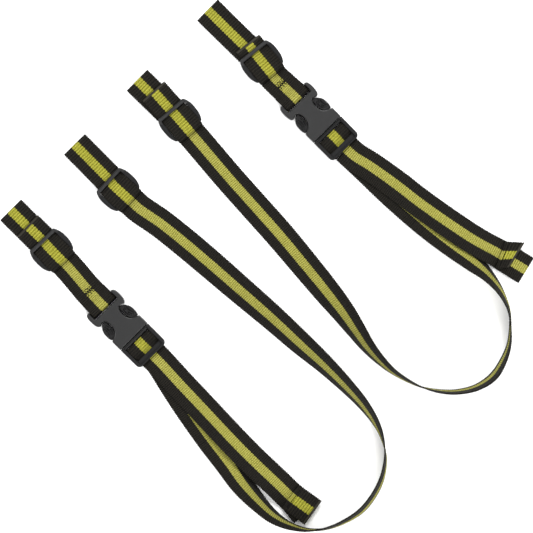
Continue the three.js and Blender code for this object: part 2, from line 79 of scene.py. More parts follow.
# Places on the surface of the two straps, and headings in degrees. A loop's fold is at tip. A free end lies
# on the loop and is cut off at cut, unless it is tucked between the loop's layers, so far past the slider's
# middle. The long webbing's route is rows of x, y and roll: 0 lies flat and 90 stands on its edge. The tail
# has the same rows with the lift of its lower edge added. It is folded over twice into a hem: back on itself,
# skewed, and out again by flap_shift.
STRAPS = {
    "strap1": {
        "short": {"tip": (-196.3, -125.0), "heading": 0.0, "cut": (-176.3, -124.2), "cut_heading": 1.3},
        "long": {"tip": (-197.2, -47.6), "heading": -0.3, "tucked": 31.0},
        "route": [
            (-22.4, -126.8, 0), (-16.5, -126.9, 0), (-10, -128.1, 0), (2, -131, 0), (26, -136.2, 0),
            (56, -141.4, 3), (86, -145.6, 22), (105.5, -149.4, 41), (125, -150.8, 57), (144, -150, 70),
            (158.5, -145.7, 82), (172.5, -137.5, 92), (182.5, -126, 99), (189.5, -111, 104),
            (193, -94.5, 106.5), (191.5, -79, 106), (185.5, -62, 103), (174.5, -47.7, 96),
            (162.5, -39.7, 87), (148.8, -34.3, 78), (130, -30.8, 68), (110, -29.8, 60),
            (83.5, -30, 49.5), (57.5, -31.4, 38), (24, -33, 28), (-10, -35.5, 18), (-44, -38, 8),
            (-78, -41, 0), (-102, -44, 0), (-113, -46.2, 0), (-121, -47.5, 0), (-128.3, -47.8, 0),
        ],
        "tail": [
            (-22.4, -126.8, 0, 1.6), (-16, -126.8, 0, 1.6), (6, -127.7, 0, 1.6), (36, -128.6, 1, 1.6),
            (57, -129.2, 3, 2.8), (78, -129.6, 6, 5), (98, -129.6, 7, 5.6), (118, -129.2, 6, 4.4),
            (130, -129, 4, 2.4), (138, -129.1, 2, 0.8), (142, -129.1, 0, 0.1), (146, -129.2, 0, 0),
            (150, -129.3, 0, 0), (160.6, -130.2, 0, 0),
        ],
        "hem": {"length": 16.5, "skew": 12.5, "flap_shift": (21.8, 3.6), "flap_skew": 1.5},
    },
    "strap2": {
        "short": {"tip": (-198.0, 112.3), "heading": 0.6, "cut": (-153.7, 116.3), "cut_heading": -7.0},
        "long": {"tip": (-198.2, 28.2), "heading": 0.6, "cut": (-181.6, 31.5), "cut_heading": -3.5},
        "route": [
            (-30.5, 112.3, 0), (-22, 112.5, 0), (-4, 113, 0), (20, 113.5, 0), (48, 115, 4),
            (68, 116.3, 15), (88.5, 117.9, 31), (108, 120.1, 43), (128, 121.2, 61), (144.5, 119.2, 72),
            (159.3, 113.7, 80), (172.3, 103, 86), (182, 91, 91), (187.5, 78.3, 96),
            (190.5, 64, 99), (187.5, 48, 97), (178.5, 33.2, 95), (165.5, 21.3, 92.5),
            (154, 14.3, 88), (142, 9.7, 84), (128, 6.4, 79), (115, 5.6, 72.5), (99, 6.4, 63),
            (81.5, 9.4, 51), (64.5, 12.4, 39), (40, 15.4, 25), (14, 18, 16.5), (-19, 21, 7),
            (-53, 23, 0), (-87, 25, 0), (-108, 26.7, 0), (-120, 27.7, 0), (-132.9, 28.7, 0),
        ],
        "tail": [
            (-30.4, 112.3, 0, 1.6), (-24, 112.6, 0, 1.6), (-8, 116.1, 0, 1.6), (21, 121, 0, 1.6),
            (42, 123.6, 2, 1.8), (61, 126.5, 4, 3.6), (81, 130, 7, 6.2), (96, 133.1, 8, 6),
            (107, 136.1, 11, 4), (113.5, 138.2, 12, 2.2), (118, 139.7, 10, 0.9), (121.5, 140.7, 6, 0.3),
            (124, 141.4, 2, 0.1), (126, 141.9, 0, 0), (131, 143, 0, 0),
            (147.4, 146.9, 0, 0),
        ],
        "hem": {"length": 23.0, "skew": 11.0, "flap_shift": (8.6, 9.2), "flap_skew": -12.0},
    },
}


# ---- camera, floor and light ----

CAMERA_HEIGHT = 1700.0
CAMERA_SEES = 451.5  # the width of the surface in the picture
CAMERA_AIM = (-8.35, -6.4)
CAMERA_TURN = 45.0  # degrees, so that the straps run from the upper left to the lower right
SENSOR_WIDTH = 36
FLOOR_SIZE = 6.0  # metres
FLOOR_LEVEL = -0.4
WORLD_STRENGTH = 0.3

# The soft lights: name, place in metres, side in metres, and power in watts. Each one faces the origin.
LIGHTS = [
    ("key", (-1.3, 1.5, 1.8), 1.2, 75),
    ("fill", (1.6, -0.9, 1.6), 1.4, 45),
    ("side", (-1.4, -1.3, 1.6), 1.2, 35),
    ("back", (1.4, 1.4, 1.6), 1.2, 35),
    ("overhead", (0.0, 0.0, 2.4), 1.7, 14),
]


def set_view():
    """Looks straight down."""
    aim = Vector((*CAMERA_AIM, 0.0)) * MM
    data = bpy.data.cameras.new("camera")
    data.sensor_width = SENSOR_WIDTH
    data.lens = SENSOR_WIDTH * CAMERA_HEIGHT / CAMERA_SEES
    data.clip_end = 20
    bpy.context.scene.view_settings.view_transform = "Standard"
    camera = bpy.data.objects.new("camera", data)
    bpy.context.collection.objects.link(camera)
    camera.location = aim + Vector((0, 0, CAMERA_HEIGHT * MM))
    camera.rotation_euler = (0, 0, math.radians(CAMERA_TURN))
    bpy.context.scene.camera = camera


def plain_material(name, colour, roughness):
    material = bpy.data.materials.new(name)
    material.use_nodes = True
    shader = material.node_tree.nodes["Principled BSDF"]
    shader.inputs["Base Color"].default_value = (*colour, 1)
    shader.inputs["Roughness"].default_value = roughness
    return material


def add_floor():
    """White paper under the object."""
    bpy.ops.mesh.primitive_plane_add(size=FLOOR_SIZE, location=(0, 0, FLOOR_LEVEL * MM))
    floor = bpy.context.object
    floor.name = "floor"
    floor.data.materials.append(plain_material("floor_paper", (0.96, 0.96, 0.96), 0.95))


def add_light(name, location, size, power):
    data = bpy.data.lights.new(name, "AREA")
    data.size = size
    data.energy = power
    light = bpy.data.objects.new(name, data)
    bpy.context.collection.objects.link(light)
    light.location = location
    light.rotation_euler = (-Vector(location)).to_track_quat("-Z", "Y").to_euler()


def set_light():
    world = bpy.data.worlds.new("studio")
    world.use_nodes = True
    background = world.node_tree.nodes["Background"]
    background.inputs["Color"].default_value = (1, 1, 1, 1)
    background.inputs["Strength"].default_value = WORLD_STRENGTH
    bpy.context.scene.world = world
    for light in LIGHTS:
        add_light(*light)


# ---- materials ----

# Noise scales are per millimetre on the webbing, whose UV map is in millimetres, and per metre elsewhere.

BLACK_YARN = (0.0046, 0.004, 0.0028)
BLACK_PLASTIC = (0.0028, 0.0028, 0.003)
STRIPE_BLUR = 0.15  # half the width of the change from black to the stripe
EDGE_WANDER = 0.5  # how far the stripe's edge strays, and how far ribs and pairs of ribs scallop it
RIB_SCALLOP = 0.2
PAIR_SCALLOP = 0.14
RIB_SHARE = 0.65  # of the weave's relief, and the warp yarns have the rest
SPOT_SHARE = 0.75  # of the mottling, and the clouds have the rest


def scaled(colour, factor):
    return tuple(factor * c for c in colour)


class Nodes:
    """A short way to write a material's node tree."""

    def __init__(self, material):
        self.tree = material.node_tree
        self.shader = self.tree.nodes["Principled BSDF"]

    def add(self, kind, **settings):
        node = self.tree.nodes.new(kind)
        for name, value in settings.items():
            setattr(node, name, value)
        return node

    def link(self, value, socket):
        if hasattr(value, "is_output"):
            self.tree.links.new(value, socket)
        else:
            socket.default_value = value

    def math(self, operation, a, b=0.0, clamp=False):
        node = self.add("ShaderNodeMath", operation=operation, use_clamp=clamp)
        self.link(a, node.inputs[0])
        self.link(b, node.inputs[1])
        return node.outputs[0]

    def ramp(self, value, low, high):
        """0 below low and 1 above high."""
        node = self.add("ShaderNodeMapRange", interpolation_type="SMOOTHSTEP")
        self.link(value, node.inputs["Value"])
        node.inputs["From Min"].default_value = low
        node.inputs["From Max"].default_value = high
        return node.outputs[0]

    def mix(self, factor, a, b):
        node = self.add("ShaderNodeMix", data_type="RGBA")
        self.link(factor, node.inputs[0])
        self.link((*a, 1) if isinstance(a, tuple) else a, node.inputs[6])
        self.link((*b, 1) if isinstance(b, tuple) else b, node.inputs[7])
        return node.outputs[2]

    def noise(self, vector, scale, detail=2.0):
        node = self.add("ShaderNodeTexNoise")
        self.link(vector, node.inputs["Vector"])
        node.inputs["Scale"].default_value = scale
        node.inputs["Detail"].default_value = detail
        return node.outputs["Fac"]

    def bump(self, height, strength, distance):
        node = self.add("ShaderNodeBump")
        node.inputs["Strength"].default_value = strength
        node.inputs["Distance"].default_value = distance
        self.link(height, node.inputs["Height"])
        self.tree.links.new(node.outputs[0], self.shader.inputs["Normal"])


def webbing_material(name, stripe, rib_length, contrast):
    """Ribbed webbing with a centre stripe. The UV map holds millimetres along and across it."""
    material = plain_material(name, BLACK_YARN, 0.85)
    n = Nodes(material)
    uv = n.add("ShaderNodeUVMap", uv_map="webbing").outputs["UV"]
    split = n.add("ShaderNodeSeparateXYZ")
    n.link(uv, split.inputs[0])
    along, across = split.outputs[0], split.outputs[1]
    wander = n.math("MULTIPLY", n.math("SUBTRACT", n.noise(uv, 0.7), 0.5), EDGE_WANDER)
    from_middle = n.math("ABSOLUTE", n.math("ADD", across, wander))
    rib = n.math("COSINE", n.math("MULTIPLY", along, 2 * math.pi / rib_length))
    pair = n.math("COSINE", n.math("MULTIPLY", along, math.pi / rib_length))
    fine_scallop = n.math("ADD", from_middle, n.math("MULTIPLY", rib, RIB_SCALLOP))
    scalloped = n.math("ADD", fine_scallop, n.math("MULTIPLY", pair, PAIR_SCALLOP))
    outside = n.ramp(scalloped, STRIPE_HALF - STRIPE_BLUR, STRIPE_HALF + STRIPE_BLUR)
    in_stripe = n.math("SUBTRACT", 1.0, outside)
    yarn_phase = n.math("MULTIPLY", across, 2 * math.pi / YARN)
    yarn = n.math("SINE", n.math("ADD", yarn_phase, n.math("MULTIPLY", along, math.pi / rib_length)))
    yarns = n.math("MULTIPLY", yarn, 1 - RIB_SHARE)
    weave = n.math("ADD", n.math("MULTIPLY", rib, -RIB_SHARE), yarns)
    speckle = n.noise(uv, 1.1, 3.0)
    cloud = n.noise(uv, 0.12, 2.0)
    spots = n.math("MULTIPLY", n.ramp(speckle, 0.3, 0.7), SPOT_SHARE)
    mottle = n.math("ADD", spots, n.math("MULTIPLY", cloud, 1 - SPOT_SHARE))
    # Tone is random mottling plus the ribs and yarns: painted shade in their hollows and painted highlight on
    # their tops.
    tone = n.math("ADD", n.math("MULTIPLY", weave, contrast), mottle, clamp=True)
    dark = n.mix(tone, scaled(BLACK_YARN, 0.15), scaled(BLACK_YARN, 2.7))
    # The stripe runs from painted shade between the ribs to a paler, bluer painted highlight on the yarns.
    red, green, blue = stripe
    shaded_yarn = (0.45 * red, 0.45 * green, 0.2 * blue)
    lit_yarn = (1.4 * red, 1.4 * green, 2.4 * blue)
    bright = n.mix(tone, shaded_yarn, lit_yarn)
    n.link(n.mix(in_stripe, dark, bright), n.shader.inputs["Base Color"])
    n.bump(weave, 0.7, 0.0005)
    n.shader.inputs["Sheen Weight"].default_value = 0.01
    n.shader.inputs["Sheen Roughness"].default_value = 0.5
    n.shader.inputs["Specular IOR Level"].default_value = 0.12
    return material


def sealed_and_shaded_end_material():
    """Webbing melted hard where it was cut with heat, dark on the stripe, so that it also paints the shade at
    the step of a cut end.
    """
    material = plain_material("sealed_end_and_painted_shade", (0.02, 0.019, 0.016), 0.5)
    n = Nodes(material)
    place = n.add("ShaderNodeTexCoord").outputs["Object"]
    lumps = n.noise(place, 1800.0, 3.0)
    n.link(n.mix(lumps, (0.003, 0.003, 0.0025), (0.026, 0.022, 0.013)), n.shader.inputs["Base Color"])
    n.bump(lumps, 0.5, 0.0003)
    n.shader.inputs["Specular IOR Level"].default_value = 0.2
    return material


def plastic_material(name, roughness, gloss):
    """Dark moulded plastic with a fine spark-eroded grain."""
    material = plain_material(name, BLACK_PLASTIC, roughness)
    n = Nodes(material)
    place = n.add("ShaderNodeTexCoord").outputs["Object"]
    grain = n.noise(place, 2200.0, 3.0)
    cloud = n.noise(place, 150.0, 3.0)
    shade = n.mix(cloud, scaled(BLACK_PLASTIC, 0.75), scaled(BLACK_PLASTIC, 1.3))
    n.link(shade, n.shader.inputs["Base Color"])
    rough = n.math("ADD", n.math("MULTIPLY", cloud, 0.2), roughness - 0.1)
    n.link(rough, n.shader.inputs["Roughness"])
    n.bump(grain, 0.2, 0.0002)
    n.shader.inputs["Specular IOR Level"].default_value = gloss
    return material


def thread_material():
    """Black sewing thread."""
    material = plain_material("stitching_thread", (0.003, 0.003, 0.003), 0.7)
    n = Nodes(material)
    place = n.add("ShaderNodeTexCoord").outputs["Object"]
    fibre = n.noise(place, 4000.0, 2.0)
    n.link(n.mix(fibre, (0.0005, 0.0005, 0.0005), (0.003, 0.003, 0.003)), n.shader.inputs["Base Color"])
    n.bump(fibre, 0.3, 0.0002)
    n.shader.inputs["Specular IOR Level"].default_value = 0.1
    return material


WEBBING = webbing_material("webbing", (0.238, 0.226, 0.031), RIB, 0.5)
WEBBING_BACK = webbing_material("webbing_back", (0.226, 0.218, 0.017), BACK_RIB, 0.46)
PLASTIC = plastic_material("moulded_plastic", 0.38, 0.4)
# A duller copy of the same plastic, with less gloss, that stands in for shade on the male half, the prongs
# and the sliders' rails.
DULL_SHADED_PLASTIC = plastic_material("dull_plastic_painted_shade", 0.5, 0.2)
THREAD = thread_material()
SEALED_AND_SHADE = sealed_and_shaded_end_material()


# ---- meshes ----

def add_mesh(name, points, faces, material, uvs=None):
    """Points in millimetres; uvs are one pair for each corner of each face."""
    mesh = bpy.data.meshes.new(name)
    mesh.from_pydata([tuple(p * MM) for p in np.asarray(points, float)], [], faces)
    mesh.materials.append(material)
    if uvs is not None:
        layer = mesh.uv_layers.new(name="webbing")
        layer.data.foreach_set("uv", np.asarray(uvs, np.float32).ravel())
    mesh.polygons.foreach_set("use_smooth", [True] * len(mesh.polygons))
    mesh.update()
    obj = bpy.data.objects.new(name, mesh)
    bpy.context.collection.objects.link(obj)
    return obj


def smoothstep(t):
    """0 up to t = 0, 1 from t = 1 on, and smooth between them."""
    t = min(max(t, 0.0), 1.0)
    return t * t * (3 - 2 * t)


def hermite(t, p0, slope0, p1, slope1, span):
    """The place at t, from 0 to 1, of the cubic from p0 to p1 with these slopes at its ends."""
    a = 2 * t**3 - 3 * t**2 + 1
    b = t**3 - 2 * t**2 + t
    c = -2 * t**3 + 3 * t**2
    d = t**3 - t**2
    return a * p0 + b * span * slope0 + c * p1 + d * span * slope1


def spline(points, spacing):
    """A smooth line through points of any dimension, sampled about every spacing along it.

    The first two columns are a place, and the distance between the points is measured on them.
    """
    p = np.array(points, float)
    chord = np.linalg.norm(np.diff(p[:, :2], axis=0), axis=1)
    slope = np.diff(p, axis=0) / chord[:, None]
    tangent = np.empty_like(p)
    tangent[0], tangent[-1] = slope[0], slope[-1]
    before, after = chord[:-1, None], chord[1:, None]
    tangent[1:-1] = (slope[:-1] * after + slope[1:] * before) / (before + after)
    out = []
    for i, length in enumerate(chord):
        count = max(1, round(length / spacing))
        t = np.linspace(0, 1, count, endpoint=False)[:, None]
        out.append(hermite(t, p[i], tangent[i], p[i + 1], tangent[i + 1], length))
    return np.vstack(out + [p[-1:]])


# A quarter of the webbing's outline, from its edge to its middle: distance across, and height over the
# middle plane. The edge is a rounded selvedge, and the stripe's yarns stand a little higher.
QUARTER = [
    (12.5, 0.0), (12.38, 0.4), (11.95, 0.63), (11.2, 0.58), (7.6, 0.6), (4.1, 0.6), (3.7, 0.66), (0.0, 0.68),
]
UPPER = [(-v, h) for v, h in QUARTER] + QUARTER[-2::-1]
OUTLINE = np.array(UPPER + [(v, -h) for v, h in reversed(UPPER[1:-1])])

SELVEDGE_FROM = 12.0
RAISED_WIDTH = 1.018  # the selvedge is serrated, wider at a rib than between two ribs
SUNK_WIDTH = 0.972
SUNK_HEIGHT = 0.8  # and the webbing is thinner there
SNUG_WIDTH = 1.02  # it fills the width of a slot
CUP = 1.1  # how far its edges curl from its middle where it stands on edge
CUP_BALANCE = 0.4  # keeps the cupped webbing about its middle plane
CUP_FROM, CUP_RISE = 12, 40  # degrees of roll at which the cup starts, and over which it grows
CUP_TURNOVER = 8  # degrees on both sides of upright within which it changes sides


class Section:
    """Where the webbing is at one place: its middle, half its width as a vector, and the way it faces."""

    def __init__(self, middle, across, face, cup=0.0, snug=False):
        self.middle = np.asarray(middle, float)
        self.across = np.asarray(across, float)
        self.face = np.asarray(face, float)
        self.cup = cup
        self.snug = snug

    def ring(self, row):
        """The webbing's outline here. Odd rows are ribs and even rows the hollows between them."""
        v = OUTLINE[:, 0].copy()
        h = OUTLINE[:, 1].copy()
        raised = row % 2
        if self.snug:
            v *= SNUG_WIDTH
        else:
            v[np.abs(v) > SELVEDGE_FROM] *= RAISED_WIDTH if raised else SUNK_WIDTH
        h *= 1.0 if raised else SUNK_HEIGHT
        u = v / HALF_WIDTH
        h = h - self.cup * (u**2 - CUP_BALANCE)
        return self.middle + u[:, None] * self.across + h[:, None] * self.face


def ribbon(name, sections, along=0.0, cut_start=False, cut_end=False, back_from=None):
    """A closed strip of webbing through its sections, sealed at an end where it was cut, where the dark
    sealed rows also paint the shade at the step of the cut end.

    Its weave starts so far along, and from the section back_from on it shows the webbing's other side.
    """
    rings = [s.ring(i) for i, s in enumerate(sections)]
    size = len(OUTLINE)
    travelled = along + ROW * np.arange(len(rings))
    faces, uvs = [], []
    for i in range(len(rings) - 1):
        for j in range(size):
            k = (j + 1) % size
            faces.append((i * size + j, i * size + k, (i + 1) * size + k, (i + 1) * size + j))
            v0, v1 = OUTLINE[j, 0], OUTLINE[k, 0]
            s0, s1 = travelled[i], travelled[i + 1]
            uvs += [(s0, v0), (s0, v1), (s1, v1), (s1, v0)]
    last = (len(rings) - 1) * size
    faces.append(tuple(range(size - 1, -1, -1)))
    uvs += [(travelled[0], OUTLINE[j, 0]) for j in range(size - 1, -1, -1)]
    faces.append(tuple(last + j for j in range(size)))
    uvs += [(travelled[-1], OUTLINE[j, 0]) for j in range(size)]
    obj = add_mesh(name, np.vstack(rings), faces, WEBBING, uvs)
    # The sealed rows are partly a real heat seal and partly painted shade at the step of a cut end.
    back_slot, sealed_shade_slot = 1, 2
    obj.data.materials.append(WEBBING_BACK)
    obj.data.materials.append(SEALED_AND_SHADE)
    sides = len(faces) - 2
    rim = SEALED_SHADE_ROWS * size
    for polygon in obj.data.polygons:
        i = polygon.index
        at_start = i < rim or i == sides
        at_end = sides - rim <= i < sides or i == sides + 1
        if (cut_start and at_start) or (cut_end and at_end):
            polygon.material_index = sealed_shade_slot
        elif back_from is not None and i >= back_from * size:
            polygon.material_index = back_slot
    flip_if_inside_out(obj)
    return obj


def flip_if_inside_out(obj):
    """Turns a closed mesh's faces outwards if its volume comes out negative."""
    mesh = obj.data
    volume = 0.0
    for polygon in mesh.polygons:
        corners = [mesh.vertices[i].co for i in polygon.vertices]
        for i in range(1, len(corners) - 1):
            volume += corners[0].dot(corners[i].cross(corners[i + 1]))
    if volume < 0:
        mesh.flip_normals()


def cup_at(roll):
    """How far the webbing curls at so many degrees of roll."""
    side = min(max((90 - roll) / CUP_TURNOVER, -1), 1)
    return CUP * smoothstep((roll - CUP_FROM) / CUP_RISE) * side


def laid_sections(stations):
    """Sections of webbing that lies on the surface along stations of x, y, roll and, for a tail, lift."""
    lifted = [(*station, 0.0)[:4] for station in stations]  # a route's rows give no lift
    line = spline(lifted, ROW)
    line[:, :2] -= CENTRE
    heading = np.gradient(line[:, :2], axis=0)
    heading /= np.linalg.norm(heading, axis=1)[:, None]
    sections = []
    for (x, y, roll, lift), (tx, ty) in zip(line, heading):
        a = math.radians(roll)
        left = np.array([-ty, tx, 0.0])
        up = np.array([0.0, 0.0, 1.0])
        across = math.cos(a) * left - math.sin(a) * up
        face = math.cos(a) * up + math.sin(a) * left
        section = Section((x, y, 0.0), HALF_WIDTH * across, face, cup_at(roll))
        section.middle[2] = max(lift, 0.0) - section.ring(1)[:, 2].min()
        sections.append(section)
    return sections


def heading_vector(degrees):
    """A step of length 1 on the surface."""
    a = math.radians(degrees)
    return np.array([math.cos(a), math.sin(a)])


class Plan:
    """A line on the surface that is straight outside two places and bends smoothly between them.

    Its coordinate runs from d0, at place p0 with heading h0, to d1, at p1 with heading h1.
    """

    def __init__(self, p0, h0, d0, p1=None, h1=None, d1=None):
        self.p0 = np.asarray(p0, float)
        self.h0 = heading_vector(h0)
        self.d0 = d0
        self.bent = p1 is not None
        if self.bent:
            self.p1 = np.asarray(p1, float)
            self.h1 = heading_vector(h1)
            self.d1 = d1

    def at(self, d):
        if not self.bent or d <= self.d0:
            return self.p0 + (d - self.d0) * self.h0, self.h0
        if d >= self.d1:
            return self.p1 + (d - self.d1) * self.h1, self.h1
        span = self.d1 - self.d0
        t = (d - self.d0) / span
        place = hermite(t, self.p0, self.h0, self.p1, self.h1, span)
        da = 6 * t**2 - 6 * t
        db = 3 * t**2 - 4 * t + 1
        dd = 3 * t**2 - 2 * t
        slope = da * self.p0 + db * span * self.h0 - da * self.p1 + dd * span * self.h1
        return place, slope / np.linalg.norm(slope)


def woven_sections(plan, path, snug=(0, 0)):
    """Sections of webbing that follows a path of distance along the plan and height.

    Between the two distances in snug it fills the slot that it is pulled through.
    """
    line = spline(path, ROW)
    step = np.gradient(line, axis=0)
    step /= np.linalg.norm(step, axis=1)[:, None]
    sections = []
    for (d, z), (sd, sz) in zip(line, step):
        place, heading = plan.at(d)
        forward = np.array([heading[0] * sd, heading[1] * sd, sz])
        left = np.array([-heading[1], heading[0], 0.0])
        fills = snug[0] < d < snug[1]
        sections.append(Section((*place, z), HALF_WIDTH * left, np.cross(forward, left), snug=fills))
    return sections


# ---- stitching ----

STITCH = 1.9  # from one stitch to the next
THREAD_RADIUS = 0.36
THREAD_SIDES = 8
STITCH_SHAPE = [(0.0, 0.3), (0.12, 0.9), (0.5, 1.0), (0.88, 0.9), (1.0, 0.3)]  # place on it, and thickness
STITCH_START, STITCH_STOP = 0.05, 0.95  # the shares of its length between which a stitch shows


def bar_and_rays(x, layer):
    """The lines of a bar tack across the stripe, with short stitches fanning out on both sides of it."""
    lines = [((x + shift, -4.2, layer), (x + shift, 4.2, layer)) for shift in (-0.6, 0.0, 0.6)]
    for side in (-1, 1):
        for y, spread in ((-2.1, -0.9), (0.1, 0.3), (2.2, 0.9)):
            lines.append(((x + 0.9 * side, y, layer), (x + 3.2 * side, y + spread, layer)))
    lines.append(((x - 3.4, -1.9, layer), (x - 2.0, 1.6, layer)))
    return lines


def stitch_rows(plan, a, b):
    """Points along a stitch from a to b, which dips into the webbing at both ends."""
    rows = []
    for t, _ in STITCH_SHAPE:
        d, y, layer = a + (b - a) * t
        place, heading = plan.at(d)
        left = np.array([-heading[1], heading[0]])
        rise = THICKNESS / 2 + THREAD_RADIUS * (1.2 * math.sin(math.pi * t) - 0.2)
        rows.append(np.array([*(place + y * left), layer + rise]))
    return rows


def stitched(name, plan, lines):
    """Raised stitches along lines drawn in the plan's own distance and sideways place."""
    points, faces = [], []
    sides = THREAD_SIDES
    for start, end in np.array(lines, float):
        count = max(2, round(np.linalg.norm(end - start) / STITCH))
        for i in range(count):
            a = start + (end - start) * (i + STITCH_START) / count
            b = start + (end - start) * (i + STITCH_STOP) / count
            rows = stitch_rows(plan, a, b)
            forward = (rows[-1] - rows[0]) / np.linalg.norm(rows[-1] - rows[0])
            side = np.cross((0, 0, 1), forward)
            top = np.cross(forward, side)
            base = len(points)
            for row, (_, thickness) in zip(rows, STITCH_SHAPE):
                for k in range(sides):
                    angle = 2 * math.pi * k / sides
                    ring = math.cos(angle) * side + math.sin(angle) * top
                    points.append(row + THREAD_RADIUS * thickness * ring)
            for r in range(len(rows) - 1):
                for k in range(sides):
                    m = (k + 1) % sides
                    here, there = base + r * sides, base + (r + 1) * sides
                    faces.append((here + k, here + m, there + m, there + k))
            faces.append(tuple(base + k for k in range(sides - 1, -1, -1)))
            faces.append(tuple(base + (len(rows) - 1) * sides + k for k in range(sides)))
    obj = add_mesh(name, points, faces, THREAD)
    flip_if_inside_out(obj)
    return obj


def sew(name, plan, lines, node, body):
    """Adds stitching that stands for a node and rides on a body."""
    piece = stitched(name, plan, lines)
    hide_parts(node)
    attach(piece, body)


# ---- places that the frame gives ----

MALE_END = 64.6  # where the webbing leaves the buckle, from its female end


def middle_of(node):
    """A node's middle, seen from above."""
    low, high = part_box(node)
    return np.array([(low.x + high.x) / 2, (low.y + high.y) / 2]) / MM


def joint_heading(name):
    """The heading of a joint's axis, in degrees."""
    axis = next(j for j in frame["joints"] if j["name"] == name)["axis"]
    return math.degrees(math.atan2(axis[1], axis[0]))


def in_slider(strap, end, distance):
    """The place at a distance from a slider's middle. The loop is on the side of negative distances."""
    turn = joint_heading(f"{strap}_{end}_slider_slide")
    return middle_of(f"{strap}_{end}_slider") + distance * heading_vector(turn)


def female_end(strap):
    """The female end of the buckle, on its axis."""
    low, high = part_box(f"{strap}_buckle_female")
    return np.array([low.x, (low.y + high.y) / 2]) / MM


def male_end(strap):
    """Where the webbing leaves the other end of the buckle."""
    return female_end(strap) + np.array([MALE_END, 0.0])


# ---- webbing through the sliders ----

WEAVE_REACH = 14.2  # how far the strands run past a slider's middle, towards the loop
STRAND_END = 15.4  # and away from it
SLIDER_SLOT = (-10.5, 14.5)  # the distances from its middle between which the webbing fills it
BEND_FROM, BEND_TO = 16.0, 4.0  # distances from its middle between which a loop turns into its own heading
WRAP_ALONG, LOOP_ALONG = 9.0, 30.0  # where their weave starts, so that no two pieces look alike

# Ways through a slider: distance from its middle, and height. The strand passes over the middle bar. The wrap
# passes over the strand, turns round the far bar and comes back on top of the frame.
STRAND_PATH = [
    (STRAND_END, LAYER_1), (9, LAYER_1), (6, 0.95), (3.7, 2.3), (1.5, 3.15), (-1.5, 3.15), (-3.7, 2.3),
    (-6, 0.95), (-9, LAYER_1), (-WEAVE_REACH, LAYER_1),
]
WRAP_PATH = [
    (-9.2, LAYER_2), (-6.7, 2.6), (-4.3, 4), (-1.8, 4.8), (1.8, 4.8), (4.3, 4), (6.7, 2.6), (9.2, LAYER_2),
    (11.8, LAYER_2), (13.3, 2.8), (13.75, 4.1), (13.2, 5.5), (11.6, 6.2), (8.4, 6.3), (2, 6.45), (-1.8, 6.4),
    (-4.8, 5.7), (-7.2, 4.5), (-9.4, LAYER_3), (-13, LAYER_3),
]

# A loop's fold, which is puffed up a little: distance from its tip, and height.
LOOP_FOLD = [
    (6, LAYER_1), (1.7, 0.75), (0.3, 1.3), (0, 2.1), (0.4, 3), (1.8, 3.4), (5, 3.1), (9, 2.45), (12, LAYER_2),
]


def finish_webbing(nodes):
    """Hides the nodes that a piece of webbing stands for."""
    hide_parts(*nodes)


def line_through_slider(strap, end, place, heading):
    """A line through a slider that bends to reach a place at a heading, and how far that place is."""
    reach = np.linalg.norm(place - in_slider(strap, end, 0.0))
    lead = place + (reach - BEND_FROM) * heading_vector(heading)
    turn = joint_heading(f"{strap}_{end}_slider_slide")
    return Plan(lead, heading, -BEND_FROM, in_slider(strap, end, -BEND_TO), turn, -BEND_TO), reach


def wrap_sections(lower, upper, lower_reach, upper_reach):
    """The sections that go through a slider along the lower line and come back along the upper one."""
    path = [(-lower_reach, LAYER_2), *WRAP_PATH, (-upper_reach, LAYER_3)]
    there = woven_sections(lower, path, SLIDER_SLOT)
    back = woven_sections(upper, path, SLIDER_SLOT)
    outward = upper.p1 - upper.p0
    turning = int(np.argmax([np.dot(section.middle[:2], outward) for section in there]))
    return there[:turning] + back[turning:]


def loop_path(loop_length, tucked):
    """Out along the surface, round the fold, and back on top, over a tucked end if there is one."""
    tip = loop_length - LAYER_1
    path = [(-WEAVE_REACH, LAYER_1)] + [(ahead - tip, height) for ahead, height in LOOP_FOLD]
    if tucked:
        path += [(-tucked - 5, LAYER_2), (-tucked - 1, LAYER_3 + 0.15), (-tucked + 3, LAYER_3)]
    path.append((-WEAVE_REACH, LAYER_3 if tucked else LAYER_2))
    return path


def slider_webbing(strap, end):
    """The two strands woven through a slider, and the loop beyond it."""
    facts = STRAPS[strap][end]
    node = f"{strap}_{end}_web"
    body = f"{strap}_{end}_end_slider"
    tip = np.array(facts["tip"]) - CENTRE
    lower, loop_length = line_through_slider(strap, end, tip, facts["heading"])
    tucked = facts.get("tucked", 0.0)
    if tucked:
        upper, upper_reach, lower_reach = lower, WEAVE_REACH, tucked
    else:
        cut = np.array(facts["cut"]) - CENTRE
        upper, upper_reach = line_through_slider(strap, end, cut, facts["cut_heading"])
        lower_reach = WEAVE_REACH

    sections = woven_sections(lower, STRAND_PATH, SLIDER_SLOT)
    strand = ribbon(f"{strap}_{end}_slider_strand", sections)
    finish_webbing([f"{node}_slider_strand"])
    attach(strand, body)

    sections = wrap_sections(lower, upper, lower_reach, upper_reach)
    starts_cut = tucked > 0
    wrap = ribbon(f"{strap}_{end}_slider_wrap", sections, WRAP_ALONG, starts_cut, not starts_cut, back_from=0)
    finish_webbing([f"{node}_slider_wrap"])
    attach(wrap, body)

    sections = woven_sections(lower, loop_path(loop_length, tucked))
    loop = ribbon(f"{strap}_{end}_loop", sections, LOOP_ALONG, back_from=0)
    finish_webbing([f"{node}_loop"])
    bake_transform(loop)


# ---- webbing at the buckle ----

SEWN_LENGTH = 15.6  # from the buckle's female end to the cut end of the short webbing
TACK_PLACE = 2.6  # from that cut end to the bar tack


